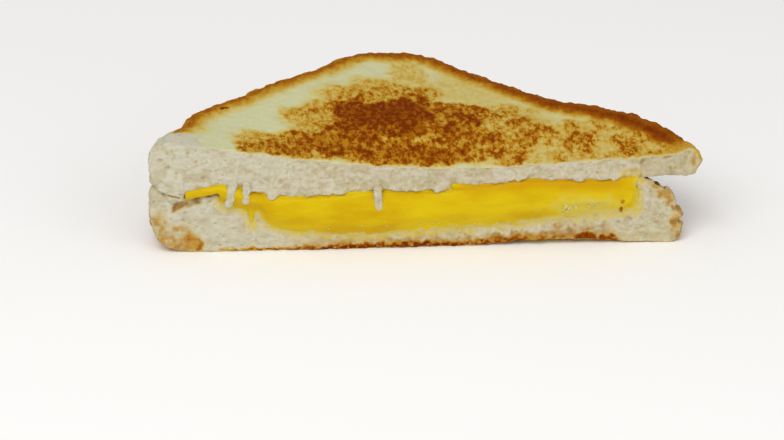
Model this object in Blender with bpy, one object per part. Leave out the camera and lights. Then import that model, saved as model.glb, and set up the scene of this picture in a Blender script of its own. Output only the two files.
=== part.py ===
"""Half of a grilled cheese sandwich, cut from corner to corner.

Two toasted slices of white bread with a melted layer of cheese between them. X runs along the cut, the
cut face looks along -Y, the bread's square corner points along +Y, and the underside rests on Z = 0.
Run it with blender --background --python part.py. Lengths are in millimetres until MM turns them to metres.
"""

import math

import bmesh
import bpy
from mathutils import Vector

MM = 0.001

# The bread: a 114 mm square slice with rounded corners, cut along its diagonal.
SLICE_MIDDLE = (0.0, 22.0)
LEFT_LEG = [(-61.5, 33.4, 3.0), (-27.5, 65.0, 20.0)]
BACK_CORNER = [(-17.8, 77.0, 14.0), (5.5, 75.5, 16.0)]
RIGHT_LEG = [(28.5, 50.5, 30.0), (44.0, 37.8, 30.0)]
FACE_ROUNDING = 2.2
BASE_ROUNDING = 1.2
CRUST_BULGE = 0.7
CRUST_RIPPLE = 0.4
CRUST_RIPPLE_LENGTHS = (25.0, 11.3)
RIM_LIFT = 0.45
RIM_INSET = 4.5
BLEND_DEPTH = 24.0

# The folds in the crust at the right-hand tip, with their pitch as a share of the thickness.
CREASE_START = 50.0
CREASE_RUN = 14.0
CREASE_DEPTH = 1.5
CREASE_PITCH = 0.46

# The space between cheese and bread, at the cut and further in.
CLEARANCE = 0.35
HIDDEN_CLEARANCE = 0.75
HIDDEN_FROM = 4.0

# The cheese: an 88 mm square slice, melted, cut along the same diagonal.
CHEESE_LEFT = -66.0
CHEESE_RIGHT = 57.2
CHEESE_DEPTH = 67.0
CHEESE_CORNER_RADIUS = 14.0
CHEESE_SIDE_DEPTH = 7.5
CHEESE_SWELL = 3.4
CHEESE_LEAST = 0.5
SLICE_CLOSING = 4.5

# Its front: a belly that stands out of the cut, an apron that hangs down, and a thin flap at the left.
LIP_ROWS = 3
LIP_PROUD = 0.2
BELLY = 1.5
BELLY_RUNS = (16.0, 9.0)
APRON = 2.7
APRON_LEFT = -50.0
APRON_RUNS = (10.0, 8.0)
APRON_TUCK = 0.3
FLAP_THICKNESS = 2.4
FLAP_END = -48.0
FLAP_RUN = 5.0

# Columns along the cut, rows from the cut to the crust, layers through the thickness.
TOP_CELLS = (48, 13, 6)
BOTTOM_CELLS = (48, 13, 10)
CHEESE_CELLS = (38, 10, 4)
END_CROWDING = 0.5
CRUST_CROWDING = 1.9
CHEESE_CROWDING = 1.35


def smooth(t):
    """0 to 1 with a soft start and end."""
    t = min(1.0, max(0.0, t))
    return t * t * (3.0 - 2.0 * t)


def curve_through(points):
    """A function of x that passes smoothly through the points without swinging past them."""
    steps = [(b[1] - a[1]) / (b[0] - a[0]) for a, b in zip(points, points[1:])]
    inner = [2.0 * p * q / (p + q) if p * q > 0 else 0.0 for p, q in zip(steps, steps[1:])]
    slopes = [steps[0], *inner, steps[-1]]

    def height(x):
        if x <= points[0][0]:
            return points[0][1]
        if x >= points[-1][0]:
            return points[-1][1]
        i = max(k for k, p in enumerate(points) if p[0] <= x)
        (x0, z0), (x1, z1) = points[i], points[i + 1]
        width = x1 - x0
        t = (x - x0) / width
        rise = z0 * (1 + 2 * t) * (1 - t) ** 2 + z1 * t * t * (3 - 2 * t)
        return rise + width * (slopes[i] * t * (1 - t) ** 2 - slopes[i + 1] * t * t * (1 - t))

    return height


# Heights along the cut, as (x, z): the knife pressed the middle down and left the two tips thick.
UNDERSIDE_AT_CUT = curve_through(
    [(-76.0, 7.5), (-73.7, 3.6), (-71.0, 1.4), (-64.0, 0.0), (8.0, 0.0), (30.0, 1.5), (42.0, 1.4),
     (60.0, 0.0)]
)
BOTTOM_SLICE_AT_CUT = curve_through(
    [(-76.0, 18.2), (-73.5, 19.0), (-71.0, 16.6), (-68.5, 12.6), (-64.0, 14.0), (-57.0, 14.6), (-51.0, 13.3),
     (-45.0, 11.2), (-38.0, 9.2), (-24.0, 7.8), (-12.0, 7.5), (4.0, 8.6), (25.0, 9.4), (40.0, 10.4),
     (52.0, 11.6), (56.0, 14.6), (58.2, 18.0), (60.0, 18.2), (62.5, 16.6), (66.0, 15.0), (69.0, 12.8)]
)
TOP_SLICE_BASE_AT_CUT = curve_through(
    [(-75.0, 20.6), (-71.0, 18.0), (-67.0, 17.6), (-60.0, 19.0), (-54.0, 20.2), (-47.0, 18.0), (-38.0, 16.1),
     (-26.0, 16.6), (-12.0, 17.6), (3.0, 17.0), (14.0, 18.3), (26.0, 19.8), (48.0, 19.4), (62.0, 19.6),
     (69.0, 19.7), (75.0, 21.6)]
)
TOP_SLICE_AT_CUT = curve_through(
    [(-75.0, 31.6), (-70.0, 32.3), (-61.5, 31.6), (-50.8, 29.8), (-34.6, 27.4), (-20.0, 25.6), (-7.4, 24.4),
     (10.0, 23.7), (20.0, 23.8), (36.0, 24.6), (50.0, 25.3), (64.0, 25.9), (72.0, 26.8)]
)

# Heights along the crust, as (x, z).
BOTTOM_SLICE_AT_CRUST = curve_through(
    [(-75.0, 13.6), (-55.0, 12.9), (-10.0, 12.4), (40.0, 12.4), (72.0, 10.6)]
)
TOP_SLICE_BASE_AT_CRUST = curve_through(
    [(-75.0, 15.8), (-55.0, 14.3), (-10.0, 13.5), (40.0, 14.0), (72.0, 17.0)]
)
TOP_SLICE_AT_CRUST = curve_through(
    [(-75.0, 30.2), (-64.0, 29.4), (-38.0, 28.9), (-8.0, 27.9), (36.0, 26.7), (57.0, 27.5), (74.0, 26.2)]
)


def between(at_cut, at_crust, x, y):
    """A surface that follows one curve at the cut and the other from BLEND_DEPTH inwards."""
    share = smooth(y / BLEND_DEPTH)
    return at_cut(x) * (1.0 - share) + at_crust(x) * share


def underside(x, y):
    """The flat base, arched up a little under the right half of the cut."""
    return UNDERSIDE_AT_CUT(x) * (1.0 - smooth(y / (0.6 * BLEND_DEPTH)))


def cheese_swell(x, y):
    """How far the melted layer holds the slices apart, away from the cut."""
    return CHEESE_SWELL * smooth(cheese_inset(x, y) / (2.0 * SLICE_CLOSING)) * smooth(y / BLEND_DEPTH)


def bottom_slice_top(x, y):
    return between(BOTTOM_SLICE_AT_CUT, BOTTOM_SLICE_AT_CRUST, x, y) - 0.5 * cheese_swell(x, y)


def top_slice_base(x, y):
    return between(TOP_SLICE_BASE_AT_CUT, TOP_SLICE_BASE_AT_CRUST, x, y) + 0.5 * cheese_swell(x, y)


def top_slice_top(x, y):
    """The toasted face: gently uneven, as pan and spatula left it."""
    wave = 0.35 * math.sin(x / 13.0 + 0.6) * math.sin(y / 11.0) + 0.2 * math.sin((x - y) / 7.0)
    return between(TOP_SLICE_AT_CUT, TOP_SLICE_AT_CRUST, x, y) + wave * smooth(y / BLEND_DEPTH)


def fillet(corners, steps=8):
    """The open path through corners given as (x, y, radius), each corner but the ends turned into an arc."""
    path = [Vector(corners[0][:2])]
    for before, here, after in zip(corners, corners[1:], corners[2:]):
        corner = Vector(here[:2])
        back = (Vector(before[:2]) - corner).normalized()
        ahead = (Vector(after[:2]) - corner).normalized()
        half_angle = 0.5 * back.angle(ahead)
        bisector = (back + ahead).normalized()
        centre = corner + bisector * (here[2] / math.sin(half_angle))
        start = corner + back * (here[2] / math.tan(half_angle)) - centre
        end = corner + ahead * (here[2] / math.tan(half_angle)) - centre
        for k in range(steps + 1):
            path.append(centre + here[2] * start.slerp(end, k / steps))
    path.append(Vector(corners[-1][:2]))
    return path


def along(path, t):
    """The point a share t of the way along a path."""
    lengths = [(b - a).length for a, b in zip(path, path[1:])]
    left = t * sum(lengths)
    for a, b, length in zip(path, path[1:], lengths):
        if left <= length:
            return a.lerp(b, left / length)
        left -= length
    return path[-1].copy()


def distance_to(path, point):
    """The shortest distance from a point to a path."""
    best = math.inf
    for a, b in zip(path, path[1:]):
        side = b - a
        t = min(1.0, max(0.0, (point - a).dot(side) / side.length_squared))
        best = min(best, (point - a.lerp(b, t)).length)
    return best


def outward(point):
    """The plan direction from the middle of the slice to a point on its crust."""
    return (point - Vector(SLICE_MIDDLE)).normalized()


class Outline:
    """A plan with four sides: the cut, the left end, the right end, and the far side round the corner."""

    def __init__(self, left_end, far_side, right_end):
        self.left = fillet(left_end)
        self.right = fillet(right_end)
        self.far = fillet(far_side)
        self.rim = self.left + self.far[1:-1] + self.right[::-1]

    def place(self, u, v):
        """The plan point at u along the cut and v from the cut to the far side."""
        chord = self.far[0].lerp(self.far[-1], u)
        ends = along(self.left, v) * (1 - u) + along(self.right, v) * u
        return (along(self.far, u) - chord) * v + ends


def bread_outline(left_tip, right_leg, right_tip):
    """A half slice: blunt tips, a wide back corner and legs with a slight waist."""
    far_side = [left_tip[-1], *LEFT_LEG, *BACK_CORNER, *right_leg, right_tip[-1]]
    return Outline(left_tip, far_side, right_tip)


def cheese_outline():
    """The cheese's triangle, square at its two ends."""
    left_tip = [(CHEESE_LEFT, 0.0, 0.0), (CHEESE_LEFT + 2.0, CHEESE_SIDE_DEPTH, 0.0)]
    right_tip = [(CHEESE_RIGHT, 0.0, 0.0), (CHEESE_RIGHT - 1.0, CHEESE_SIDE_DEPTH, 0.0)]
    corner = (CHEESE_MIDDLE, CHEESE_DEPTH, CHEESE_CORNER_RADIUS)
    return Outline(left_tip, [left_tip[-1], corner, right_tip[-1]], right_tip)


CHEESE_MIDDLE = 0.5 * (CHEESE_LEFT + CHEESE_RIGHT)
CHEESE_PLAN = cheese_outline()
TOP_PLAN = bread_outline(
    [(-75.3, 0.0, 0.0), (-74.9, 5.5, 4.0), (-67.2, 17.0, 2.0), (-65.8, 26.5, 0.0)],
    RIGHT_LEG,
    [(75.0, 0.0, 0.0), (75.8, 5.5, 3.0), (69.6, 19.2, 8.0), (60.5, 28.0, 0.0)],
)
BOTTOM_PLAN = bread_outline(
    [(-75.4, 0.0, 0.0), (-75.8, 7.5, 5.0), (-67.4, 25.0, 0.0)],
    RIGHT_LEG[:1],
    [(70.2, 0.0, 0.0), (71.4, 3.4, 2.0), (61.0, 19.5, 0.0)],
)


def cheese_inset(x, y):
    """How far inside the cheese's edge a point is, plus the width in which the slices close beyond it."""
    half_width = 0.5 * (CHEESE_RIGHT - CHEESE_LEFT)
    reach = half_width * (1.0 - y / CHEESE_DEPTH) - abs(x - CHEESE_MIDDLE)
    return reach / math.sqrt(2.0) + SLICE_CLOSING


def box_cells(columns, rows, layers):
    """A box in columns, rows and layers, with its outer faces at exactly 0 and 1 each way."""
    bm = bmesh.new()
    bmesh.ops.create_cube(bm, size=1.0)
    bmesh.ops.translate(bm, verts=bm.verts, vec=(0.5, 0.5, 0.5))
    for axis, cells in enumerate((columns, rows, layers)):
        edges = [e for e in bm.edges if abs(e.verts[0].co[axis] - e.verts[1].co[axis]) > 0.99]
        bmesh.ops.subdivide_edges(bm, edges=edges, cuts=cells - 1, use_grid_fill=True)
    for vert in bm.verts:
        vert.co = [round(c, 5) for c in vert.co]
    return bm


def crowd_ends(t):
    """Spreads 0 to 1 so that the steps shrink towards both ends."""
    return t - END_CROWDING * math.sin(2.0 * math.pi * t) / (2.0 * math.pi)


def crowd_far_side(t):
    """Spreads 0 to 1 so that the steps shrink towards 1, where the crust rounds over."""
    return 1.0 - (1.0 - t) ** CRUST_CROWDING


def rounding(inset, radius):
    """How far a face has fallen at this distance inside the crust, as on a rounded edge."""
    left = max(0.0, radius - inset)
    return radius - math.sqrt(radius**2 - left**2)


def rim_lift(inset):
    """The low ridge that the stiffer crust leaves round the toasted face."""
    return RIM_LIFT * smooth(1.0 - abs(inset - RIM_INSET) / RIM_INSET)


def ripple(x, inset):
    """How far the crust wanders in and out of its outline; it dies away inside."""
    long_wave, short_wave = CRUST_RIPPLE_LENGTHS
    wave = math.sin(2.0 * math.pi * x / long_wave) + 0.6 * math.sin(2.0 * math.pi * x / short_wave + 1.0)
    return CRUST_RIPPLE * wave * smooth(1.0 - inset / (2.0 * FACE_ROUNDING))


def creases(x, w):
    """The two folds that squeezing left in the crust at the right-hand tip, as an outward offset."""
    share = smooth((x - CREASE_START) / CREASE_RUN) * smooth(w / CREASE_PITCH)
    return -share * CREASE_DEPTH * math.cos(math.pi * w / CREASE_PITCH) ** 6


def bread_slice(plan, cells, low, high, base_rounding, relief):
    """A slice's mesh: low and high give its two faces' heights, and relief its crust's folds."""
    bm = box_cells(*cells)
    for vert in bm.verts:
        on_crust = vert.co.x in (0.0, 1.0) or vert.co.y == 1.0
        w = vert.co.z
        point = plan.place(crowd_ends(vert.co.x), crowd_far_side(vert.co.y))
        inset = 0.0 if on_crust else distance_to(plan.rim, point)
        bottom = low(*point) + rounding(inset, base_rounding)
        top = high(*point, inset) - rounding(inset, FACE_ROUNDING)
        offset = ripple(point.x, inset)
        if on_crust:
            offset += CRUST_BULGE * math.sin(math.pi * w) + relief(point.x, w)
        point = point + outward(point) * (offset * smooth(0.4 + point.y / FACE_ROUNDING))
        vert.co = (*point, bottom + (top - bottom) * w)
    return bm


def top_slice(name, material):
    """The upper slice, with its toasted face up."""
    bm = bread_slice(
        TOP_PLAN,
        TOP_CELLS,
        low=top_slice_base,
        high=lambda x, y, inset: top_slice_top(x, y) + rim_lift(inset),
        base_rounding=FACE_ROUNDING,
        relief=lambda x, w: 0.0,
    )
    return finish(name, bm, material)


def bottom_slice(name, material):
    """The lower slice, with its toasted face down and its crust folded at the right-hand tip."""
    bm = bread_slice(
        BOTTOM_PLAN,
        BOTTOM_CELLS,
        low=underside,
        high=lambda x, y, inset: bottom_slice_top(x, y),
        base_rounding=BASE_ROUNDING,
        relief=creases,
    )
    return finish(name, bm, material)


def cheese_faces(x, y, gap):
    """The heights of the layer's underside and top: a thin flap at the left, the full space elsewhere."""
    bottom = bottom_slice_top(x, y) + gap
    top = top_slice_base(x, y) - gap
    flap = smooth((FLAP_END - x) / FLAP_RUN)
    return max(bottom, bottom * (1.0 - flap) + (top - FLAP_THICKNESS) * flap), top


def apron(x):
    """How far the melted front hangs down over the bottom slice's cut face."""
    left, right = APRON_RUNS
    return APRON * smooth((x - APRON_LEFT) / left) * smooth((CHEESE_RIGHT - 1.0 - x) / right)


def belly(x, w):
    """How far the melted front stands out of the cut at a share w of its height."""
    left, right = BELLY_RUNS
    ends = smooth((x - CHEESE_LEFT) / left) * smooth((CHEESE_RIGHT - x) / right)
    return (LIP_PROUD + BELLY * ends) * math.sin(math.pi * (0.12 + 0.76 * w))


def cheese_outside(x, out, w):
    """A point of the swollen front, with out running from 0 at the mouth to 1 at its furthest."""
    bottom, top = cheese_faces(x, 0.0, CLEARANCE)
    if out == 0.0:
        return x, -CLEARANCE, bottom + (top - bottom) * w
    bottom -= (apron(x) + CLEARANCE) * (1.0 - 0.25 * out) - APRON_TUCK * out
    top -= APRON_TUCK * out
    return x, -CLEARANCE - 0.05 - belly(x, w) * out, bottom + (top - bottom) * w


def cheese_inside(u, depth, w):
    """A point between the slices, with depth running from 0 at the mouth to 1 at the layer's far edge."""
    x, y = CHEESE_PLAN.place(u, depth**CHEESE_CROWDING)
    gap = CLEARANCE + (HIDDEN_CLEARANCE - CLEARANCE) * smooth(y / HIDDEN_FROM)
    bottom, top = cheese_faces(x, y, gap)
    return x, y, bottom + max(CHEESE_LEAST, top - bottom) * w


def cheese_layer(name, material):
    """The melted layer: it fills the space between the slices and swells out of the cut."""
    rows = CHEESE_CELLS[1]
    bm = box_cells(*CHEESE_CELLS)
    for vert in bm.verts:
        u, v, w = vert.co
        row = round(v * rows)
        if row <= LIP_ROWS:
            x = CHEESE_LEFT + (CHEESE_RIGHT - CHEESE_LEFT) * u
            vert.co = cheese_outside(x, 1.0 - row / LIP_ROWS, w)
        else:
            vert.co = cheese_inside(u, (row - LIP_ROWS) / (rows - LIP_ROWS), w)
    return finish(name, bm, material)


def finish(name, bm, material):
    """Turns a bmesh in millimetres into an object in metres with the material on it."""
    bmesh.ops.scale(bm, verts=bm.verts, vec=(MM, MM, MM))
    bmesh.ops.recalc_face_normals(bm, faces=bm.faces)
    mesh = bpy.data.meshes.new(name)
    bm.to_mesh(mesh)
    bm.free()
    mesh.shade_smooth()
    mesh.set_sharp_from_angle(angle=math.radians(40.0))
    mesh.materials.append(material)
    return bpy.data.objects.new(name, mesh)


def linear(hex_colour):
    """An sRGB hex colour as linear RGBA."""
    channels = [int(hex_colour[i : i + 2], 16) / 255.0 for i in (0, 2, 4)]
    return [c / 12.92 if c <= 0.04045 else ((c + 0.055) / 1.055) ** 2.4 for c in channels] + [1.0]


def food_material(name, hex_colour, roughness):
    """A plain food finish."""
    material = bpy.data.materials.new(name)
    material.use_nodes = True
    shader = material.node_tree.nodes["Principled BSDF"]
    shader.inputs["Base Color"].default_value = linear(hex_colour)
    shader.inputs["Roughness"].default_value = roughness
    shader.inputs["Metallic"].default_value = 0.0
    return material


def stand_on_origin(objects):
    """Moves the parts so that the middle of the whole box's underside is the origin."""
    points = [v.co for o in objects for v in o.data.vertices]
    low = Vector([min(p[i] for p in points) for i in range(3)])
    high = Vector([max(p[i] for p in points) for i in range(3)])
    middle = Vector(((low.x + high.x) / 2, (low.y + high.y) / 2, low.z))
    for o in objects:
        o.location = -middle


def main():
    for old in list(bpy.data.objects):
        bpy.data.objects.remove(old)
    sandwich = bpy.data.collections.new("grilled_cheese_half")
    bpy.context.scene.collection.children.link(sandwich)
    toast = food_material("toasted_bread", "CFA65A", 0.75)
    crumb = food_material("white_bread", "D8C79C", 0.8)
    cheese = food_material("melted_cheese", "DDB520", 0.38)
    parts = [
        top_slice("bread_top", toast),
        bottom_slice("bread_bottom", crumb),
        cheese_layer("cheese", cheese),
    ]
    stand_on_origin(parts)
    for part in parts:
        sandwich.objects.link(part)


main()
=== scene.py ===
"""Half of a grilled cheese sandwich: two slices of white bread toasted in butter, cheese between them."""

import itertools
import math
from types import SimpleNamespace

import bmesh
import bpy
import numpy as np
from mathutils import Matrix, Vector, kdtree


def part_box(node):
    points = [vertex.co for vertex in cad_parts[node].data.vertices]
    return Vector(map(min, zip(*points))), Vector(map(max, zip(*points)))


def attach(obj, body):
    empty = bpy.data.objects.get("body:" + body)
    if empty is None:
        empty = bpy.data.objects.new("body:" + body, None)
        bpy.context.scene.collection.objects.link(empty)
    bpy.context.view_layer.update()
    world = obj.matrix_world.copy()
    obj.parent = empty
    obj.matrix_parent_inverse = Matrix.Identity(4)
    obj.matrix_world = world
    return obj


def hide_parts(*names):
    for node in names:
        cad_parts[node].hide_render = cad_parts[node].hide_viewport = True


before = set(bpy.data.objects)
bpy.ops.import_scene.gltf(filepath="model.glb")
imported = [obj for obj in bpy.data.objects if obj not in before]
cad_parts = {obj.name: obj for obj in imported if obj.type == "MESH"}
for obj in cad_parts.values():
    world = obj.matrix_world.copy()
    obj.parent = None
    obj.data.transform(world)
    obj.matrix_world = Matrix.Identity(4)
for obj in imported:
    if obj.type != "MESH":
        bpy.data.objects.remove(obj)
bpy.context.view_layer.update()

# Lengths are in mm: x runs along the cut, whose y is CUT, depth runs back from it, and z is the height.
MM = 0.001
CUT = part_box("bread_top")[0].y / MM
# The sizes of the cells that the skins of bread and cheese are made in.
BREAD_CELL = 0.56
CHEESE_CELL = 0.42
# The distance given to points that aren't measured.
FAR = 99.0
# Where the camera looks, and from how far away.
AIM = Vector((-9.361, -33.6264, 6.7414)) * MM
DISTANCE = 800.0 * MM

# How brown the pan left a slice, from 0 (pale) to 1 (dark), as (x, depth, half width, half depth, browning).
# The brownest spot at a place counts.
BROWN_SPOTS = [
    (-9.0, 30.0, 12.0, 10.0, 0.98),
    (-20.0, 33.0, 7.0, 8.0, 0.84),
    (-3.0, 36.0, 7.0, 7.0, 0.88),
    (-13.0, 21.0, 15.0, 8.0, 0.82),
    (-22.0, 10.0, 14.0, 9.5, 0.74),
    (-36.0, 10.0, 10.0, 10.0, 0.62),
    (-46.0, 4.5, 7.0, 4.0, 0.5),
    (-4.0, 7.0, 18.0, 8.0, 0.72),
    (7.0, 25.0, 10.0, 13.0, 0.72),
    (14.0, 12.0, 11.0, 11.0, 0.62),
    (13.0, 33.0, 7.0, 6.0, 0.6),
    (26.0, 18.0, 9.0, 9.0, 0.54),
    (23.0, 5.0, 9.0, 6.0, 0.5),
    (42.0, 12.0, 6.0, 10.0, 0.5),
    (56.0, 9.0, 6.0, 8.0, 0.46),
    (-10.0, 36.0, 19.0, 16.0, 0.44),
    (-27.0, 24.0, 11.0, 14.0, 0.42),
    (-41.0, 9.0, 12.0, 9.0, 0.38),
    (19.0, 20.0, 20.0, 20.0, 0.42),
    (50.0, 9.0, 25.0, 17.0, 0.36),
    (-3.0, 58.0, 6.0, 16.0, 0.22),
    (14.0, 50.0, 14.0, 12.0, 0.16),
    (-54.0, 30.0, 0.9, 1.3, 1.0),
]
# Where the bread arched clear of the pan; the last number is how much browning it missed.
PALE_SPOTS = [
    (29.0, 8.0, 3.5, 4.5, 0.2),
    (-3.5, 39.0, 1.5, 3.0, 0.35),
    (-33.0, 26.0, 3.0, 4.0, 0.12),
    (5.5, 25.0, 1.3, 2.5, 0.2),
    (36.0, 6.0, 3.0, 5.0, 0.12),
    (33.0, 24.0, 6.0, 4.0, 0.15),
]
# Browned patches on the lower slice's cut face, as (x, height, half width, half height, browning).
SEARED_PATCHES = [
    (44.0, 1.5, 3.5, 3.0, 0.95),
    (50.0, 1.0, 3.0, 3.5, 0.9),
]
# Browned patches at its lower left corner, given the same way.
CORNER_PATCHES = [
    (-74.0, 5.0, 3.0, 5.5, 0.12),
    (-64.5, 2.5, 2.4, 3.6, 0.6),
]
# Where crust shows on a cut face, as (x, height, half width, half height, how much).
UPPER_CRUST_SHOWS = [
    (56.0, 20.0, 3.2, 2.6, 1.0),
    (76.5, 26.0, 4.0, 9.0, 1.0),
]
LOWER_CRUST_SHOWS = [
    (-74.0, 5.5, 4.5, 7.5, 1.0),
    (-68.0, 4.0, 6.5, 5.5, 1.0),
    (70.0, 13.0, 4.5, 4.0, 1.0),
    (71.0, 4.0, 4.5, 9.0, 1.0),
    (61.5, 18.5, 4.5, 1.9, 1.0),
    (65.5, 15.6, 3.5, 1.9, 1.0),
]
# The browned rim: how brown it is at its darkest and how much wider than usual, both as (x, value), and how
# it fades, as (distance in from the crust, share of its darkest brown).
RIM_BROWN = [(-30.0, 0.66), (-10.0, 0.72), (20.0, 0.82), (50.0, 0.92), (66.0, 0.98)]
RIM_WIDTH = [(-62.0, -1.0), (-54.0, 0.1), (-30.0, 0.2), (-10.0, 0.7), (20.0, 0.6), (50.0, 2.2), (66.0, 2.6)]
RIM_FADE = [
    (0.5, 0.8), (3.0, 1.0), (4.0, 0.88), (5.0, 0.72), (6.0, 0.56),
    (7.0, 0.38), (8.0, 0.22), (9.2, 0.08), (10.8, 0.0),
]
# The seared lower edge of the lower slice, with painted shade of its contact below added, darkest in the
# middle: how far up it reaches and how brown it is, as (x, value).
SEAR_AND_SHADE_HEIGHT = [(-60.0, 0.8), (-40.0, 1.9), (-20.0, 2.6), (15.0, 2.7), (40.0, 2.1), (60.0, 0.9)]
SEAR_AND_SHADE_LEVEL = [
    (-62.0, 0.3), (-48.0, 0.6), (-36.0, 0.8), (-20.0, 1.0),
    (5.0, 1.0), (22.0, 0.85), (38.0, 0.55), (58.0, 0.15),
]
# How low the melted cheese ran over the lower slice, as (x, z), and a drip that ran further.
RUN_TO = [
    (-56.0, 14.6), (-55.0, 13.9), (-51.0, 12.6), (-47.6, 11.8), (-45.6, 11.4), (-43.0, 7.0), (-37.5, 5.6),
    (-24.0, 4.9), (-13.0, 4.4), (4.0, 5.8), (26.0, 7.0), (36.5, 8.3), (48.0, 9.4), (57.0, 9.6), (58.0, 12.0),
]
DRIP_X, DRIP_Z = -48.2, 7.6
# Where the cheese glued the slices together at the right.
GLUED_X = 56.0
# Strands of crumb torn off the upper slice, as (x, upper z, lower z, width, lean).
STRANDS = [(-53.4, 21.5, 14.2, 2.9, 0.2), (-49.3, 21.5, 14.6, 2.7, 0.05), (-13.4, 19.5, 12.0, 2.9, 0.0)]
# A thin brown crease in the upper slice's cut face at its left end, as (x, z).
CREASE = [(-71.1, 17.5), (-67.0, 16.5)]
# A slot in the lower slice's cut face under the flap of cheese, coloured as dark crust that is partly painted
# shade in the crevice, as (x, z) along its middle.
SLOT = [(-69.4, 12.9), (-66.4, 14.2), (-62.5, 15.5)]
# Heights of the crevices between the knobs of crust at the lower slice's right end, darkened by painted
# shade, and how that end drops.
CREVICE_HEIGHTS = (11.6, 6.3)
RIGHT_END_DROP = [(60.0, 0.0), (64.0, 0.6), (67.0, 0.2), (69.0, 1.4), (71.0, 2.8)]


# ---------------------------------------------------------------- fields

def ramp(value, start, end):
    """0 before start, 1 after end, and a soft rise between; start may be the larger."""
    t = np.clip((value - start) / (end - start), 0.0, 1.0)
    return t * t * (3.0 - 2.0 * t)


def profile(x, pairs):
    """The value at each x of a profile given as (x, value) pairs."""
    return np.interp(x, *zip(*pairs))


def noise(points, size, seed, octaves=2):
    """Smooth random values from -1 to 1, with lumps about size mm across."""
    total = np.zeros(len(points))
    for octave in range(octaves):
        table = np.random.default_rng(seed + 101 * octave).uniform(-1.0, 1.0, (32, 32, 32))
        place = points * (2.0**octave / size)
        cell = np.floor(place).astype(int)
        t = place - cell
        t = t * t * (3.0 - 2.0 * t)
        value = np.zeros(len(points))
        for corner in itertools.product((0, 1), repeat=3):
            i, j, k = ((cell + corner) % 32).T
            share = np.prod(np.where(corner, t, 1.0 - t), axis=1)
            value += share * table[i, j, k]
        total += value * 0.6**octave
    return np.clip(1.3 * total, -1.0, 1.0)


def pores(points, size, seed, share=0.7):
    """Round hollows about size mm apart: 1 in the middle of each, 0 on the walls between them."""
    random = np.random.default_rng(seed)
    jitter = random.uniform(0.1, 0.9, (32, 32, 32, 3))
    radius = random.uniform(0.3, 0.62, (32, 32, 32))
    rank = random.uniform(size=(32, 32, 32))
    place = points / size
    cell = np.floor(place).astype(int)
    depth = np.zeros(len(points))
    for step in itertools.product((-1, 0, 1), repeat=3):
        near = cell + step
        i, j, k = (near % 32).T
        distance = np.linalg.norm(near + jitter[i, j, k] - place, axis=1)
        depth = np.maximum(depth, (1.0 - distance / radius[i, j, k]) * (rank[i, j, k] < share))
    return ramp(depth, 0.0, 0.7)


def strongest(x, depth, spots):
    """The strongest of the spots at each point, fading towards each spot's edge."""
    level = np.zeros(len(x))
    for spot_x, spot_depth, half_x, half_depth, strength in spots:
        away = np.hypot((x - spot_x) / half_x, (depth - spot_depth) / half_depth)
        level = np.maximum(level, strength * (1.0 - ramp(away, 0.65, 1.3)))
    return level


# ---------------------------------------------------------------- meshes

def read(items, name):
    """One vector of each vertex, in an array of rows."""
    flat = np.empty(len(items) * 3, np.float32)
    items.foreach_get(name, flat)
    return flat.reshape(-1, 3).astype(float)


def places(mesh):
    return read(mesh.vertices, "co") / MM


def evaluated(piece):
    """The piece's mesh with its modifiers applied."""
    graph = bpy.context.evaluated_depsgraph_get()
    return bpy.data.meshes.new_from_object(piece.evaluated_get(graph))


def linked(name, mesh):
    piece = bpy.data.objects.new(name, mesh)
    bpy.context.scene.collection.objects.link(piece)
    return piece


def soft_copy(name, node):
    """A copy of a node's mesh with its facets rounded off and its knife-cut edges kept sharp."""
    bm = bmesh.new()
    bm.from_mesh(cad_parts[node].data)
    bmesh.ops.remove_doubles(bm, verts=bm.verts, dist=0.001 * MM)
    crease = bm.edges.layers.float.new("crease_edge")
    for edge in bm.edges:
        if edge.calc_face_angle(0.0) > math.radians(55.0):
            edge[crease] = 1.0
    mesh = bpy.data.meshes.new(name)
    bm.to_mesh(mesh)
    bm.free()
    piece = linked(name, mesh)
    modifier = piece.modifiers.new("round", "SUBSURF")
    modifier.levels = modifier.render_levels = 2
    piece.data = evaluated(piece)
    piece.modifiers.clear()
    return piece


def add_lumps(mesh, lumps):
    """Joins egg-shaped lumps to a mesh, each given as its centre and its radii in mm."""
    bm = bmesh.new()
    bm.from_mesh(mesh)
    for centre, radii in lumps:
        place = Matrix.LocRotScale(Vector(centre) * MM, None, Vector(radii) * MM)
        bmesh.ops.create_icosphere(bm, subdivisions=2, radius=1.0, matrix=place)
    bm.to_mesh(mesh)
    bm.free()


def in_cells(piece, size):
    """Makes one closed skin of everything in the piece, in square cells of one size in mm."""
    modifier = piece.modifiers.new("skin", "REMESH")
    modifier.mode = "VOXEL"
    modifier.voxel_size = size * MM
    piece.data = evaluated(piece)
    piece.modifiers.clear()


def refine(mesh, wanted):
    """Halves the cells whose corners are all wanted."""
    bm = bmesh.new()
    bm.from_mesh(mesh)
    edges = [e for e in bm.edges if wanted[e.verts[0].index] and wanted[e.verts[1].index]]
    bmesh.ops.subdivide_edges(bm, edges=edges, cuts=1, use_grid_fill=True)
    bm.to_mesh(mesh)
    bm.free()


def store(mesh, **fields):
    """Keeps values of the vertices for the material to read."""
    for name, values in fields.items():
        layer = mesh.attributes.new(name, "FLOAT", "POINT")
        layer.data.foreach_set("value", values.astype(np.float32))


def move(mesh, positions):
    mesh.vertices.foreach_set("co", (positions * MM).astype(np.float32).ravel())
    mesh.update()


def distance_to(points, others, axes=(1.0, 1.0, 1.0)):
    """The distance from each point to the nearest of the others, in mm, with each axis scaled."""
    tree = kdtree.KDTree(len(others))
    for index, place in enumerate(others * axes):
        tree.insert(place, index)
    tree.balance()
    return np.array([tree.find(place)[2] for place in points * axes])


def front_of(points, x, z):
    """How far forward the points reach at (x, z), as y in mm."""
    near = (np.abs(points[:, 0] - x) < 0.8) & (np.abs(points[:, 2] - z) < 0.8) & (points[:, 1] < CUT + 4.0)
    return points[near, 1].min() if near.any() else CUT


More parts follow.
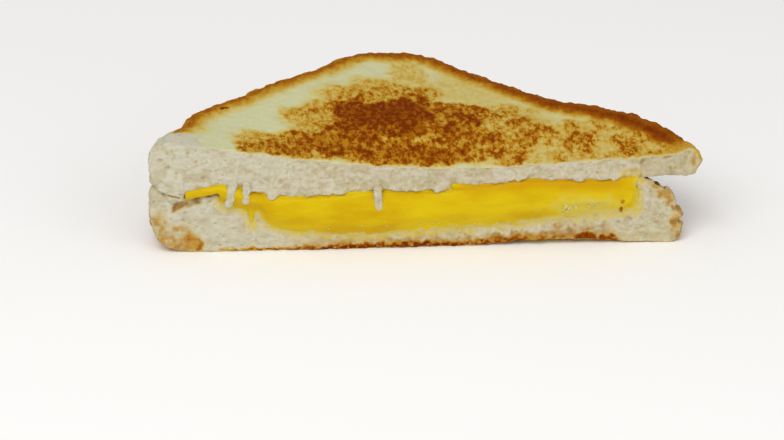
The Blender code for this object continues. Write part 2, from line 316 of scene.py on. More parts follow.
def edge_height(x, points, pick):
    """The cut face's highest or lowest z at each x, with pick as np.max or np.min."""
    on_cut = points[points[:, 1] < CUT + 0.6]
    columns = np.arange(np.floor(on_cut[:, 0].min()) + 1.0, on_cut[:, 0].max())
    heights = [pick(on_cut[np.abs(on_cut[:, 0] - column) < 1.0, 2]) for column in columns]
    return np.interp(x, columns, heights)


# ---------------------------------------------------------------- bread

def lie_of(mesh, side):
    """Where each point of a slice lies; side is 1 for the upper slice and -1 for the lower."""
    points, facing = places(mesh), read(mesh.vertex_normals, "vector")
    refine(mesh, (facing[:, 1] < -0.6) & (points[:, 1] < CUT + 1.2))
    points, facing = places(mesh), read(mesh.vertex_normals, "vector")
    x, y, z = points.T
    depth = y - CUT
    wander = noise(points, 6.0, 11)
    ragged = noise(points, 1.5, 51)

    # The faces blend where the surface turns. The fried face rolls over the cut edge at the right.
    fried_over = 0.25 * ramp(x, 44.0, 54.0) if side > 0 else 0.0
    cut = ramp(-facing[:, 1] - fried_over, 0.5, 0.85) * ramp(depth, 2.5, 1.0)
    toasted = ramp(side * facing[:, 2] + fried_over, 0.35, 0.75) * (1.0 - cut)
    inner = ramp(-side * facing[:, 2], 0.5, 0.8) * (1.0 - cut)
    outer = np.maximum(ramp(depth, 2.5, 4.5), ramp(np.abs(x), 62.0, 66.0) * ramp(depth, 0.8, 1.6))
    crust = (1.0 - cut) * (1.0 - toasted) * (1.0 - inner) * outer

    # The left tip lost its crust.
    bare_tip = ramp(x + wander, -60.0, -64.0) * ramp(depth + 2.5 * wander + 1.5 * ragged, 13.0, 7.0)
    if side < 0:
        bare_tip *= ramp(z, 6.0, 10.0)
    skin = toasted * (1.0 - bare_tip)
    dressed = skin * ramp(depth + 0.5 * ragged, -0.5, 0.5)
    fried = np.minimum(dressed + crust * (1.0 - bare_tip), 1.0)
    crust_points = points[(crust > 0.8) & (bare_tip < 0.1)]
    inset = distance_to(points, crust_points[::3], (1.0, 1.0, 0.0))
    crust += inner * ramp(inset + 0.4 * ragged - 3.0 * ramp(x, 56.0, 62.0), 2.4, 1.0)
    near_cut = ramp(depth, 12.0, 3.0)
    return SimpleNamespace(
        side=side, points=points, facing=facing, x=x, z=z, depth=depth, wander=wander, ragged=ragged, cut=cut,
        skin=skin, dressed=dressed, fried=fried, bare_tip=bare_tip, crust=crust, crust_points=crust_points,
        inset=inset, near_cut=near_cut,
    )


def pan_browning(at):
    """How brown the fried face is, and how evenly: its rim is wider and darker towards the right."""
    inset = at.inset + 0.5 * at.wander + 0.5 * noise(at.points, 2.0, 12) - profile(at.x, RIM_WIDTH)
    rim = profile(at.x, RIM_BROWN) * profile(inset, RIM_FADE) * (1.0 - at.bare_tip)
    rim *= 1.0 - (0.55 if at.side > 0 else 0.2) * at.near_cut
    drift_x = at.x + 2.5 * noise(at.points, 9.0, 13) + 1.5 * noise(at.points, 3.0, 14)
    drift_depth = at.depth + 2.5 * noise(at.points, 9.0, 15) + 1.5 * noise(at.points, 3.0, 16)
    browned = strongest(drift_x, drift_depth, BROWN_SPOTS) - strongest(drift_x, drift_depth, PALE_SPOTS)
    browned += profile(at.x, [(0.0, 0.08), (25.0, 0.2)]) * at.blotch * ramp(browned, 0.15, 0.45)
    even = ramp(rim - browned, -0.15, 0.1)
    near_edge = ramp(at.depth + 0.5 * (at.ragged + at.wander), 1.5, -0.2)
    rubbed = profile(at.x, [(48.0, 0.7), (58.0, 0.3)]) * near_edge
    return np.maximum(browned, rim) * (1.0 - rubbed), even


def upper_face(at, browned):
    """What shows on the upper slice's cut face, and how far its ends are pushed about."""
    x, z, depth = at.x, at.z, at.depth
    crease = ramp(np.abs(z - profile(x, CREASE)), 0.45, 0.2) * ramp(np.abs(x + 69.0), 2.5, 1.9)
    shows = strongest(x + at.wander, z + at.wander, UPPER_CRUST_SHOWS)
    recess = (0.6 + 0.3 * noise(at.points * (1.0, 1.0, 0.3), 1.8, 85)) * ramp(x, 58.2, 59.0)
    proud = 0.5 * ramp(x, -65.8, -66.4) * ramp(z, 25.0, 22.0)
    swollen_tip = ramp(x, 67.5, 73.0) * ramp(depth, 10.0, 4.0)
    shift = np.zeros_like(at.points)
    shift[:, 1] = (recess - proud) * ramp(depth, 3.0, 0.0) + 0.4 * at.cut * crease
    shift[:, 2] = 1.1 * swollen_tip * np.clip((z - 25.0) / 2.5, -0.7, 1.0)
    return SimpleNamespace(
        shows=np.maximum(shows, crease * at.cut),
        darker_crust_and_shade=crease,
        crust_darker_where_shown=0.6,
        crust_kept_where_seared=0.0,
        sear_and_shade_height=0.7,
        sear_and_shade_level=0.25 * browned,
        patch=0.0,
        stained=0.4 * ramp(np.abs(x - GLUED_X) + 0.6 * at.ragged, 4.0, 2.0) * ramp(z, 23.0, 21.0),
        fine_pores=0.2,
        # Painted shade in the recess at the right end.
        hollow=0.25 * ramp(x, 57.0, 60.0),
        roughness=1.0,
        shift=shift,
    )


def lower_face(at, cheese_points):
    """What shows on the lower slice's cut face, and how far its ends are pushed about."""
    x, z, depth, ragged = at.x, at.z, at.depth, at.ragged
    # The slot and the crevices are coloured as darker crust: partly crust, partly painted shade in the
    # crevices.
    slot = ramp(np.abs(z - profile(x, SLOT)) + 0.2 * ragged, 1.5, 0.7)
    slot *= ramp(np.abs(x + 65.6), 4.6, 3.6) * ramp(depth, 6.0, 4.0)
    crevice = ramp(np.minimum.reduce([np.abs(z - height) for height in CREVICE_HEIGHTS]), 1.5, 0.2)
    crevice *= ramp(x, 66.0, 69.0) * ramp(depth, 7.0, 4.0)
    # Painted shade near the foot of the right half, partly browned crust from the fried underside, coloured
    # as darker crust.
    base_top = profile(x, [(28.0, 5.4), (36.0, 8.4), (48.0, 8.4), (54.0, 5.4)])
    foot_shade_and_crust = ramp(z + 1.2 * ragged, base_top, 0.6 * base_top)
    foot_shade_and_crust *= profile(x, [(-45.0, 0.0), (-30.0, 0.75), (45.0, 1.0), (56.0, 0.45)])
    shows = strongest(x + at.wander, z + at.wander, LOWER_CRUST_SHOWS)

    # The cheese left the crumb around it yellow, and sealed its pores.
    on_cut = at.cut > 0.01
    away = np.full(len(x), FAR)
    away[on_cut] = distance_to(at.points[on_cut], cheese_points)
    stain_width = profile(x, [(20.0, 1.7), (42.0, 2.4), (54.0, 2.4), (58.0, 1.4)])
    patches = strongest(x, z, SEARED_PATCHES)
    shift = np.zeros_like(at.points)
    shift[:, 0] = -0.9 * crevice
    shift[:, 1] = 0.8 * slot * at.cut
    shift[:, 2] = -profile(x, RIGHT_END_DROP) * ramp(z, 6.0, 12.0)
    return SimpleNamespace(
        shows=np.maximum.reduce([shows, slot, crevice, foot_shade_and_crust]),
        darker_crust_and_shade=np.maximum.reduce([slot, crevice, 1.2 * foot_shade_and_crust, 0.35 * ramp(x, -60.0, -66.0)]),
        crust_darker_where_shown=0.0,
        crust_kept_where_seared=0.5,
        # Along the foot the seared band also carries painted shade, darkest in the middle.
        sear_and_shade_height=profile(x, SEAR_AND_SHADE_HEIGHT) + 1.4 * patches,
        sear_and_shade_level=np.maximum(profile(x, SEAR_AND_SHADE_LEVEL) * (0.9 + 0.45 * at.fine_ragged), patches),
        patch=strongest(x + 1.5 * at.wander, z + 0.8 * at.wander, CORNER_PATCHES) * (0.9 + 0.25 * ragged),
        stained=0.65 * ramp((away + 0.7 * noise(at.points, 1.8, 55)) / stain_width, 1.0, 0.1),
        fine_pores=0.2 + 0.45 * ramp(z, 6.0, 2.0),
        hollow=0.0,
        roughness=1.0 - 0.75 * ramp(away, 2.5, 1.0),
        shift=shift,
    )


def toast_slice(piece, side, cheese_points):
    """Gives a slice its crumb, crust and browning."""
    mesh = piece.data
    at = lie_of(mesh, side)
    points, x, z, cut = at.points, at.x, at.z, at.cut
    at.blotch = noise(points * (1.0, 0.6, 1.0), 2.6, 33, 3)
    at.fine_ragged = noise(points, 0.8, 57)
    browned, even = pan_browning(at)
    face = upper_face(at, browned) if side > 0 else lower_face(at, cheese_points)

    # The cut edge seared, with painted shade added along the lower slice's foot, and crust shows where it was
    # cut through.
    edge = edge_height(x, points, np.max if side > 0 else np.min)
    from_edge = side * (edge - z) + 0.5 * at.ragged + 0.4 * at.fine_ragged
    sear_and_shade = ramp(from_edge, face.sear_and_shade_height, 0.35 * face.sear_and_shade_height)
    edge_brown = np.maximum(sear_and_shade * face.sear_and_shade_level, face.patch) * cut
    on_cut = cut > 0.01
    rind = np.zeros(len(points))
    rind[on_cut] = distance_to(points[on_cut], at.crust_points[::2]) + 0.8 * at.wander[on_cut]
    rind[on_cut] = 1.0 - ramp(rind[on_cut], 1.2, 3.0)
    shows = np.maximum(face.shows, 0.9 * rind) * cut + face.shows * (1.0 - cut) * (1.0 - at.dressed)
    shows *= np.clip(0.9 + 0.45 * noise(points, 1.9, 58), 0.0, 1.0)
    crust = np.maximum(at.crust * (1.0 - at.bare_tip), shows)
    kept = face.crust_kept_where_seared * (1.0 - ramp(edge_brown, 0.6, 0.9))
    crust *= 1.0 - ramp(edge_brown, 0.1, 0.4) * (1.0 - kept)
    crumb = np.clip(1.0 - at.dressed - crust, 0.0, 1.0) * (1.0 - ramp(edge_brown, 0.05, 0.3))
    torn = np.clip(1.0 - at.skin - (1.0 - cut) * crust, 0.0, 1.0)

    # Crumb is torn and full of small hollows, the fried face is pitted where it browned, crust is knobbly.
    lumpy = noise(points, 2.4, 81, 3)
    tufts = noise(points * (0.7, 1.0, 1.3), 1.1, 83)
    pits = pores(points + 0.35 * noise(points, 1.4, 3)[:, None], 1.9, 21)
    warped = points * (0.8, 1.0, 1.1) + 0.6 * noise(points, 2.2, 60)[:, None]
    holes = pores(warped, 1.7, 61, 0.08)
    small_holes = pores(warped, 0.9, 71, face.fine_pores)
    knobs = ramp(at.inset, 3.5, 1.0) * (1.0 - at.bare_tip) * (1.0 - cut)
    knobs = knobs * profile(x, [(-20.0, 0.25), (30.0, 0.45)])
    swells = noise(points, 5.0, 91)
    rise = torn * (0.16 * lumpy + 0.14 * tufts + 0.14 * swells - 0.22 * holes - 0.12 * small_holes)
    rise += at.skin * (0.1 * noise(points, 1.1, 31) + 0.14 * at.blotch - 0.18 * pits)
    rise += crust * (1.0 - cut) * (0.2 * noise(points, 2.4, 95) + 0.28 * noise(points, 7.0, 96))
    rise += knobs * noise(points, 2.6, 97)
    positions = points + at.facing * (rise * face.roughness)[:, None] + face.shift
    positions[:, 2] = np.maximum(positions[:, 2], 0.0)
    move(mesh, positions)

    # Painted shade: the crumb is darkened to tan in its holes, in the dips of its relief, and in the upper
    # slice's recess at the right end.
    hollow = face.hollow + 0.6 * holes + 0.6 * small_holes + 0.35 * ramp(-lumpy, 0.1, 0.8)
    darker = np.maximum(face.darker_crust_and_shade, face.crust_darker_where_shown * shows)
    store(
        mesh,
        brown=np.clip(at.fried * browned + edge_brown, 0.0, 1.1),
        even=np.maximum(even * at.fried, 0.6 * cut),
        crumb=crumb,
        hollow=crumb * np.clip(hollow, 0.0, 1.0),
        crust=crust,
        pale_crust=np.maximum(at.near_cut, cut) * (1.0 - 0.55 * darker),
        stain=face.stained * cut,
    )


def crumb_strand(cheese_points, random, x, z_top, z_low, width, lean):
    """Torn crumb that hangs down over the front of the cheese."""
    lumps = []
    heights = np.arange(z_low + 0.5, z_top, 0.4)
    front = min(front_of(cheese_points, x, z) for z in heights)
    for z in heights:
        middle = x + lean * (z - (z_top + z_low) / 2) + random.uniform(-0.15, 0.15)
        half_width = width / 2 * random.uniform(0.9, 1.08) * (0.8 if z < z_low + 0.8 else 1.0)
        sunk = 0.5 if z < z_top - 2.0 else 0.7
        lumps.append(((middle, front + sunk, z), (half_width, 0.65, 0.6)))
    return lumps


def top_slice(cheese_points):
    piece = soft_copy("top_slice", "bread_top")
    points = places(piece.data)
    random = np.random.default_rng(5)

    # A torn lower edge, with a gap where the slice steps up.
    spots = np.sort(random.uniform(-47.5, 54.0, 95))
    lumps = []
    for x, z in zip(spots, edge_height(spots, points, np.min)):
        if 6.0 < x < 18.0:
            continue
        drop = random.uniform(-1.0, 0.1) + 1.1 * random.uniform() ** 4
        y = min(front_of(cheese_points, x, z - drop), CUT)
        radii = (random.uniform(0.5, 2.2), 0.9, random.uniform(0.6, 1.1))
        lumps.append(((x, y + 0.85, z + 0.6 - drop), radii))
    for x, z_top, z_low, width, lean in STRANDS:
        lumps += crumb_strand(cheese_points, random, x, z_top, z_low, width, lean)
    lumps += [
        # Loose crumb at the foot of the first strand.
        ((-54.6, CUT + 0.4, 14.6), (1.3, 0.8, 0.7)),
        ((-55.8, CUT + 0.5, 14.3), (0.9, 0.7, 0.5)),
        # The step in the lower edge.
        ((12.9, CUT + 0.6, 18.4), (1.4, 0.9, 0.8)),
        ((10.9, CUT + 0.7, 19.0), (1.5, 0.9, 0.8)),
        # The left end's lower corner.
        ((-73.6, CUT + 2.2, 21.5), (2.2, 2.2, 2.6)),
        ((-72.0, CUT + 2.0, 19.2), (2.2, 2.0, 2.0)),
        ((-69.6, CUT + 1.7, 17.0), (1.9, 1.7, 2.8)),
        ((-67.4, CUT + 1.6, 17.2), (1.7, 1.6, 2.5)),
        ((-65.6, CUT + 1.5, 19.2), (1.6, 1.4, 1.6)),
        # Crumb that the cheese glued down at the right.
        ((55.0, CUT + 1.1, 18.6), (1.7, 1.4, 1.5)),
        ((57.2, CUT + 1.1, 18.2), (1.6, 1.4, 1.9)),
    ]
    add_lumps(piece.data, lumps)
    in_cells(piece, BREAD_CELL)
    toast_slice(piece, 1, cheese_points)
    return piece


def bottom_slice(cheese_points):
    piece = soft_copy("bottom_slice", "bread_bottom")
    lumps = [
        # Knobs of crust at the right end.
        ((66.4, CUT + 3.4, 13.8), (2.3, 3.2, 2.0)),
        ((68.3, CUT + 3.4, 9.2), (2.5, 3.2, 2.5)),
        ((68.8, CUT + 3.4, 3.2), (2.6, 3.2, 2.8)),
        # The left end that meets the slice above.
        ((-73.8, CUT + 2.7, 17.0), (2.3, 2.7, 3.2)),
        ((-71.4, CUT + 2.3, 15.6), (2.2, 2.3, 2.2)),
        # Crumb under the flap of cheese.
        ((-68.2, CUT + 2.2, 12.8), (1.8, 1.5, 1.9)),
        ((-66.2, CUT + 2.2, 13.6), (2.3, 1.6, 1.8)),
        ((-63.6, CUT + 2.2, 14.3), (2.3, 1.6, 1.8)),
        ((-66.6, CUT + 1.2, 15.4), (1.6, 1.1, 0.9)),
        ((-60.4, CUT + 1.6, 15.4), (2.4, 1.6, 1.5)),
        ((-57.4, CUT + 1.6, 15.9), (2.2, 1.6, 1.5)),
        # The upper edge of the right end, and the corner where it meets the cheese.
        ((61.0, CUT + 1.6, 17.5), (1.8, 1.6, 1.3)),
        ((63.6, CUT + 1.6, 16.0), (1.8, 1.6, 1.2)),
        ((58.5, CUT + 0.6, 17.5), (1.0, 0.8, 1.2)),
        ((58.0, CUT + 0.9, 18.9), (1.3, 1.0, 1.2)),
        ((57.8, CUT + 0.7, 17.8), (1.0, 0.8, 1.4)),
    ]
    lumps += [((58.6, CUT + 1.3, z), (1.5, 1.4, 1.6)) for z in (11.0, 13.0, 15.0, 17.0, 18.6)]
    add_lumps(piece.data, lumps)
    in_cells(piece, BREAD_CELL)
    toast_slice(piece, -1, cheese_points)
    return piece


# ---------------------------------------------------------------- cheese

def melted_cheese():
    """The layer of cheese, with the skirt of it that ran down over the lower slice."""
    piece = soft_copy("melted_cheese", "cheese")
    points = places(piece.data)
    points[:, 2] += 1.1 * ramp(points[:, 0], -53.0, -57.0)
    move(piece.data, points)
    columns = np.arange(-55.8, 58.0, 0.6)
    run_to = profile(columns, RUN_TO) + 0.3 * noise(columns[:, None] * (1.0, 0.0, 0.0), 3.0, 211)
    run_to[np.abs(columns - DRIP_X).argmin()] = DRIP_Z
    low, high = edge_height(columns, points, np.min), edge_height(columns, points, np.max)
    lumps = []
    for x, z_solid, z_top, z_low in zip(columns, low, high, run_to):
        for z in np.arange(z_low + 0.2, z_solid + 1.0, 0.5):
            sunk = 0.3 * max(0.0, 1.0 - (z - z_low - 0.2) / 2.4, (x - 55.5) / 2.5)
            swell = 1.1 * float(ramp(z, z_solid - 3.0, z_solid + 0.5) * ramp(z, z_low + 1.0, z_low + 3.5))
            lumps.append(((x, CUT + 0.15 + sunk - swell, z), (0.8, 0.5, 0.9)))
        lumps.append(((x, CUT + 0.9, z_top), (0.8, 0.9, 1.1)))
    # It swelled into the step in the slice above.
    for x in np.arange(7.4, 17.0, 0.8):
        lumps.append(((x, CUT - 0.2, 18.6 - 0.12 * (x - 7.4)), (0.9, 0.7, 0.8)))
    add_lumps(piece.data, lumps)
    in_cells(piece, CHEESE_CELL)

    # Its lower and right edges thin out on the bread, all but the drip, and its front is a little uneven.
    mesh = piece.data
    points = places(mesh)
    x, y, z = points.T
    above_edge = z - profile(x, RUN_TO)
    off_drip = np.abs(x - DRIP_X)
    lip = np.minimum(0.05 + 0.42 * above_edge, 0.05 + 0.6 * (58.0 - x))
    lip = np.maximum(lip, 0.35 * ramp(off_drip, 1.0, 0.6))
    points[:, 1] = np.maximum(y, np.minimum(CUT - lip, CUT + 1.0))
    move(mesh, points)
    facing = read(mesh.vertex_normals, "vector")
    blobs = ramp(noise(points, 1.5, 207), 0.25, 0.6)
    blobs *= ramp(np.hypot((x - 43.5) / 8.0, (z - 12.4) / 2.3), 1.15, 0.6)
    rise = 0.14 * noise(points * (0.5, 1.0, 1.0), 4.0, 201) + 0.04 * noise(points, 1.3, 202) + 0.15 * blobs
    move(mesh, points + facing * rise[:, None])

    smear = ramp(np.hypot((x - 43.0) / 12.0, (z - 12.5) / 4.5) + 0.25 * noise(points, 2.5, 203), 1.1, 0.4)
    smear = np.maximum(smear, 0.8 * ramp(x + 0.4 * noise(points, 1.5, 205), 56.0, 58.0))
    thin_width = profile(x, [(-46.0, 0.5), (-40.0, 0.9), (20.0, 0.9), (45.0, 1.8)])
    above_edge = np.maximum(above_edge, 2.0 * ramp(off_drip, 1.1, 0.7))
    thin = ramp((above_edge + 0.5 * noise(points, 1.6, 206)) / thin_width, 1.0, 0.0)
    top = edge_height(x, points, np.max)
    under_bread = ramp(top - z + 0.8 * noise(points, 5.0, 204), 4.5, 0.8)
    under_bread *= np.maximum(ramp(np.abs(x - 32.0), 28.0, 18.0), ramp(np.abs(x + 47.0), 4.0, 1.5))
    store(mesh, smear=smear, under_bread=under_bread, thin=np.maximum(thin, 0.6 * blobs))
    return piece


def clinging_crumbs(cheese_points):
    """Grains of crumb stuck to the front of the cheese, and two that browned, as (x, z, size, browning)."""
    random = np.random.default_rng(9)

    def cluster(count, x, x_spread, z, z_spread, smallest, largest):
        return [
            (random.normal(x, x_spread), random.normal(z, z_spread), random.uniform(smallest, largest), 0.0)
            for _ in range(count)
        ]

    grains = cluster(7, 38.2, 1.0, 10.9, 0.6, 0.3, 0.55)
    grains += cluster(4, 40.8, 0.5, 12.4, 0.5, 0.35, 0.55)
    grains += cluster(9, 46.5, 2.6, 12.6, 1.2, 0.2, 0.35)
    for _ in range(14):
        grains.append((random.uniform(-30.0, 25.0), random.uniform(6.8, 8.2), random.uniform(0.12, 0.3), 0.0))
    grains += [(53.4, 10.6, 0.75, 0.66), (53.7, 13.2, 0.5, 0.5)]
    bm = bmesh.new()
    browning = []
    for x, z, size, level in grains:
        place = Vector((x, front_of(cheese_points, x, z) + 0.15, z)) * MM
        radii = Vector((size * random.uniform(0.7, 1.4), 0.3, size * random.uniform(0.5, 1.0))) * MM
        turn = Matrix.Rotation(random.uniform(0.0, 3.1), 4, "Y")
        matrix = Matrix.LocRotScale(place, turn.to_quaternion(), radii)
        made = bmesh.ops.create_icosphere(bm, subdivisions=2, radius=1.0, matrix=matrix)
        browning += [level] * len(made["verts"])
    mesh = bpy.data.meshes.new("clinging_crumbs")
    bm.to_mesh(mesh)
    bm.free()
    browning = np.array(browning)
    zeros = np.zeros(len(browning))
    store(
        mesh, brown=browning, even=zeros + 1.0, crumb=zeros, hollow=zeros, crust=zeros, pale_crust=zeros,
        stain=0.4 * (browning == 0.0),
    )
    return linked("clinging_crumbs", mesh)


# ---------------------------------------------------------------- materials

def linear(hex_colour):
    """An sRGB hex colour as linear RGBA."""
    channels = [int(hex_colour[i : i + 2], 16) / 255.0 for i in (0, 2, 4)]
    return [c / 12.92 if c <= 0.04045 else ((c + 0.055) / 1.055) ** 2.4 for c in channels] + [1.0]


def per_mm(size):
    """The texture scale that makes a pattern's cells about size mm across."""
    return 1.0 / (size * MM)


def add(tree, kind, inputs=None, stops=None, **settings):
    """Adds one node with its settings, its input values or links, and its colour stops."""
    node = tree.nodes.new("ShaderNode" + kind)
    for name, value in settings.items():
        setattr(node, name, value)
    for name, value in (inputs or {}).items():
        if isinstance(value, bpy.types.NodeSocket):
            tree.links.new(value, node.inputs[name])
        else:
            node.inputs[name].default_value = value
    if stops:
        colours = node.color_ramp.elements
        for position, _ in stops[1:-1]:
            colours.new(position)
        for element, (position, colour) in zip(colours, stops):
            element.position = position
            element.color = linear(colour)
    return node


def new_material(name):
    material = bpy.data.materials.new(name)
    material.use_nodes = True
    material.node_tree.nodes.clear()
    return material, material.node_tree


def toasted_white_bread():
    """Soft white bread fried in butter: bare crumb where cut, cream to dark brown where it met the pan."""
    material, tree = new_material("toasted_white_bread")
    place = add(tree, "TexCoord").outputs["Object"]
    field = {
        name: add(tree, "Attribute", attribute_name=name).outputs["Fac"]
        for name in ("brown", "even", "crumb", "hollow", "crust", "pale_crust", "stain")
    }

    # The pan browns the high points of the crumb first, so the brown breaks up into flakes with pale lines
    # between them.
    blotches = add(
        tree, "TexNoise", {"Vector": place, "Scale": per_mm(2.8), "Detail": 4.0, "Roughness": 0.65}
    )
    grain = add(tree, "TexNoise", {"Vector": place, "Scale": per_mm(1.2), "Detail": 3.0, "Roughness": 0.65})
    swirl = add(tree, "MixRGB", {0: 0.9 * MM, 1: place, 2: grain.outputs["Color"]}, blend_type="ADD")
    cells = add(
        tree, "TexVoronoi", {"Vector": swirl.outputs[0], "Scale": per_mm(1.9)}, feature="DISTANCE_TO_EDGE"
    )
    lines = add(tree, "MapRange", {"Value": cells.outputs["Distance"], 1: 0.0, 2: 0.15, 3: -0.16, 4: 0.0})
    streaky = add(tree, "Mapping", {"Vector": place, "Scale": (1.0, 0.5, 1.0)})
    flecks = add(
        tree, "TexNoise",
        {"Vector": streaky.outputs[0], "Scale": per_mm(1.4), "Detail": 4.0, "Roughness": 0.65},
    )
    flakes = add(
        tree, "MapRange", {"Value": flecks.outputs["Fac"], 1: 0.36, 2: 0.64, 3: -0.5, 4: 0.5},
        interpolation_type="SMOOTHSTEP",
    )
    flakes = add(tree, "Math", {0: blotches.outputs["Fac"], 1: flakes.outputs[0]}, operation="ADD")
    flakes = add(tree, "Math", {0: flakes.outputs[0], 1: lines.outputs[0]}, operation="ADD")
    flakes = add(tree, "Math", {0: flakes.outputs[0], 1: -0.5}, operation="ADD")
    flakes = add(tree, "Math", {0: flakes.outputs[0], 1: -0.42}, operation="MAXIMUM")
    busy = add(tree, "MapRange", {"Value": field["brown"], 1: 0.12, 2: 0.5, 3: 0.04, 4: 0.52})
    uneven = add(tree, "MapRange", {"Value": field["even"], 1: 0.0, 2: 1.0, 3: 1.0, 4: 0.28})
    strength = add(tree, "Math", {0: busy.outputs[0], 1: uneven.outputs[0]}, operation="MULTIPLY")
    toasting = add(
        tree, "Math", {0: flakes.outputs[0], 1: strength.outputs[0], 2: field["brown"]},
        operation="MULTIPLY_ADD",
    )
    toast = add(
        tree, "ValToRGB", {"Fac": toasting.outputs[0]},
        stops=[
            (0.0, "CCCA9E"), (0.1, "CCC07E"), (0.2, "CAB05E"), (0.3, "C39F40"), (0.42, "BB8A26"),
            (0.54, "AC7110"), (0.66, "9A5806"), (0.8, "8B4500"), (1.0, "742E00"),
        ],
    )

    # Crust is an even baked brown, and paler where it was cut through.
    baked = add(
        tree, "ValToRGB", {"Fac": blotches.outputs["Fac"]},
        stops=[(0.35, "80500F"), (0.5, "925E1C"), (0.68, "A87A38")],
    )
    pale = add(
        tree, "ValToRGB", {"Fac": blotches.outputs["Fac"]},
        stops=[(0.35, "AC8038"), (0.5, "BB9853"), (0.65, "CBB581")],
    )
    crust = add(
        tree, "Mix", {0: field["pale_crust"], 6: baked.outputs["Color"], 7: pale.outputs["Color"]},
        data_type="RGBA",
    )
    outside = add(
        tree, "Mix", {0: field["crust"], 6: toast.outputs["Color"], 7: crust.outputs[2]}, data_type="RGBA"
    )

    # Bare crumb is cream with a rosy cast in places, paler and greyer towards the left, and darkened to tan
    # by painted shade in its hollows.
    cream = add(
        tree, "ValToRGB", {"Fac": grain.outputs["Fac"]},
        stops=[(0.3, "B1A77F"), (0.5, "C2BA9D"), (0.7, "CEC7B2")],
    )
    rosy = add(tree, "MapRange", {"Value": blotches.outputs["Fac"], 1: 0.48, 2: 0.62, 3: 0.0, 4: 0.7})
    along = add(tree, "SeparateXYZ", {0: place})
    # The crumb is tinted paler and greyer towards the left.
    paler_left = add(tree, "MapRange", {"Value": along.outputs[0], 1: -70.0 * MM, 2: -20.0 * MM, 3: 0.6, 4: 0.0})
    crumb = cream.outputs["Color"]
    tints = ((rosy.outputs[0], "C7B9A6"), (paler_left.outputs[0], "C9C6B3"), (field["hollow"], "A8935F"))
    for share, tint in tints:
        crumb = add(tree, "Mix", {0: share, 6: crumb, 7: linear(tint)}, data_type="RGBA").outputs[2]
    colour = add(tree, "Mix", {0: field["crumb"], 6: outside.outputs[2], 7: crumb}, data_type="RGBA")
    colour = add(
        tree, "Mix", {0: field["stain"], 6: colour.outputs[2], 7: linear("D0B83C")}, data_type="RGBA"
    )

    bump = add(tree, "Bump", {"Height": grain.outputs["Fac"], "Strength": 0.5, "Distance": 0.3 * MM})
    shader = add(
        tree, "BsdfPrincipled",
        {"Base Color": colour.outputs[2], "Roughness": 0.8, "IOR": 1.4, "Specular IOR Level": 0.05,
         "Subsurface Weight": 0.1, "Subsurface Radius": (1.0, 0.6, 0.3), "Subsurface Scale": 1.2 * MM,
         "Normal": bump.outputs[0]},
    )
    add(tree, "OutputMaterial", {"Surface": shader.outputs[0]})
    return material


def processed_cheese():
    """Melted processed cheese: satin, evenly yellow and a little translucent."""
    material, tree = new_material("processed_cheese")
    place = add(tree, "TexCoord").outputs["Object"]
    smear = add(tree, "Attribute", attribute_name="smear").outputs["Fac"]
    under_bread = add(tree, "Attribute", attribute_name="under_bread").outputs["Fac"]
    thin = add(tree, "Attribute", attribute_name="thin").outputs["Fac"]
    along = add(tree, "Mapping", {"Vector": place, "Scale": (0.35, 1.0, 1.0)})
    drift = add(tree, "TexNoise", {"Vector": along.outputs[0], "Scale": per_mm(4.5), "Detail": 3.0})
    yellow = add(
        tree, "ValToRGB", {"Fac": drift.outputs["Fac"]},
        stops=[(0.32, "D6BA0F"), (0.5, "D1B10B"), (0.68, "C8A205")],
    )
    colour = yellow.outputs[0]
    for share, tint in ((under_bread, "C69606"), (smear, "D2BC40"), (thin, "CCBC72")):
        colour = add(tree, "Mix", {0: share, 6: colour, 7: linear(tint)}, data_type="RGBA").outputs[2]
    ripple = add(tree, "TexNoise", {"Vector": place, "Scale": per_mm(1.5), "Detail": 2.0})
    bump = add(tree, "Bump", {"Height": ripple.outputs["Fac"], "Strength": 0.25, "Distance": 0.2 * MM})
    shader = add(
        tree, "BsdfPrincipled",
        {"Base Color": colour, "Roughness": 0.4, "IOR": 1.45, "Specular IOR Level": 0.25,
         "Specular Tint": linear("FFE680"), "Subsurface Weight": 0.15, "Subsurface Radius": (1.0, 0.6, 0.08),
         "Subsurface Scale": 2.0 * MM, "Normal": bump.outputs[0]},
    )
    add(tree, "OutputMaterial", {"Surface": shader.outputs[0]})
    return material


# ---------------------------------------------------------------- stage

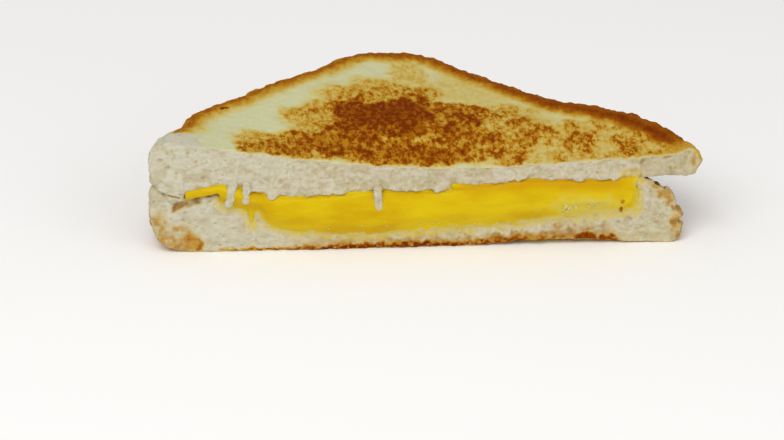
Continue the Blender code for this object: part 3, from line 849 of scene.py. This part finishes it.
def floor():
    """A plain pale surface to rest on."""
    bm = bmesh.new()
    bmesh.ops.create_grid(bm, x_segments=1, y_segments=1, size=3.0)
    mesh = bpy.data.meshes.new("floor")
    bm.to_mesh(mesh)
    bm.free()
    material, tree = new_material("pale_floor")
    shader = add(tree, "BsdfPrincipled", {"Base Color": linear("FEFDFB"), "Roughness": 0.9})
    add(tree, "OutputMaterial", {"Surface": shader.outputs[0]})
    mesh.materials.append(material)
    piece = linked("floor", mesh)


def soft_box(name, place, size, watts):
    """A square lamp that faces the sandwich."""
    light = bpy.data.lights.new(name, "AREA")
    light.shape = "SQUARE"
    light.size = size
    light.energy = watts
    lamp = linked(name, light)
    lamp.location = place
    lamp.rotation_euler = (-Vector(place)).to_track_quat("-Z", "Y").to_euler()


def studio():
    floor()
    soft_box("key", (-0.35, -0.75, 1.0), 0.9, 9.0)
    soft_box("fill", (0.8, -0.9, 0.6), 1.0, 2.6)
    world = bpy.data.worlds.new("studio")
    world.use_nodes = True
    background = world.node_tree.nodes["Background"]
    background.inputs["Color"].default_value = (1.0, 1.0, 1.0, 1.0)
    background.inputs["Strength"].default_value = 0.51
    bpy.context.scene.world = world
    bpy.context.scene.view_settings.view_transform = "Standard"


def camera():
    """Looks down 25 degrees on the cut face, turned 3 degrees to its left."""
    elevation, turn = math.radians(25.0), math.radians(3.0)
    across, up = math.cos(elevation), math.sin(elevation)
    back = Vector((-math.sin(turn) * across, -math.cos(turn) * across, up))
    data = bpy.data.cameras.new("camera")
    data.lens = 133.347
    data.sensor_width = 36.0
    data.clip_start = 0.05
    data.clip_end = 20.0
    eye = linked("camera", data)
    eye.location = AIM + DISTANCE * back
    eye.rotation_euler = (-back).to_track_quat("-Z", "Y").to_euler()
    bpy.context.scene.camera = eye


# ---------------------------------------------------------------- assembly

def finish_piece(piece, material, node=None):
    piece.data.shade_smooth()
    piece.data.materials.clear()
    piece.data.materials.append(material)
    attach(piece, "root")
    if node:
        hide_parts(node)


bread = toasted_white_bread()
cheese = melted_cheese()
cheese_front = places(cheese.data)
cheese_front = cheese_front[cheese_front[:, 1] < CUT + 1.0]
finish_piece(cheese, processed_cheese(), "cheese")
finish_piece(top_slice(cheese_front), bread, "bread_top")
finish_piece(bottom_slice(cheese_front), bread, "bread_bottom")
finish_piece(clinging_crumbs(cheese_front), bread)

studio()
camera()
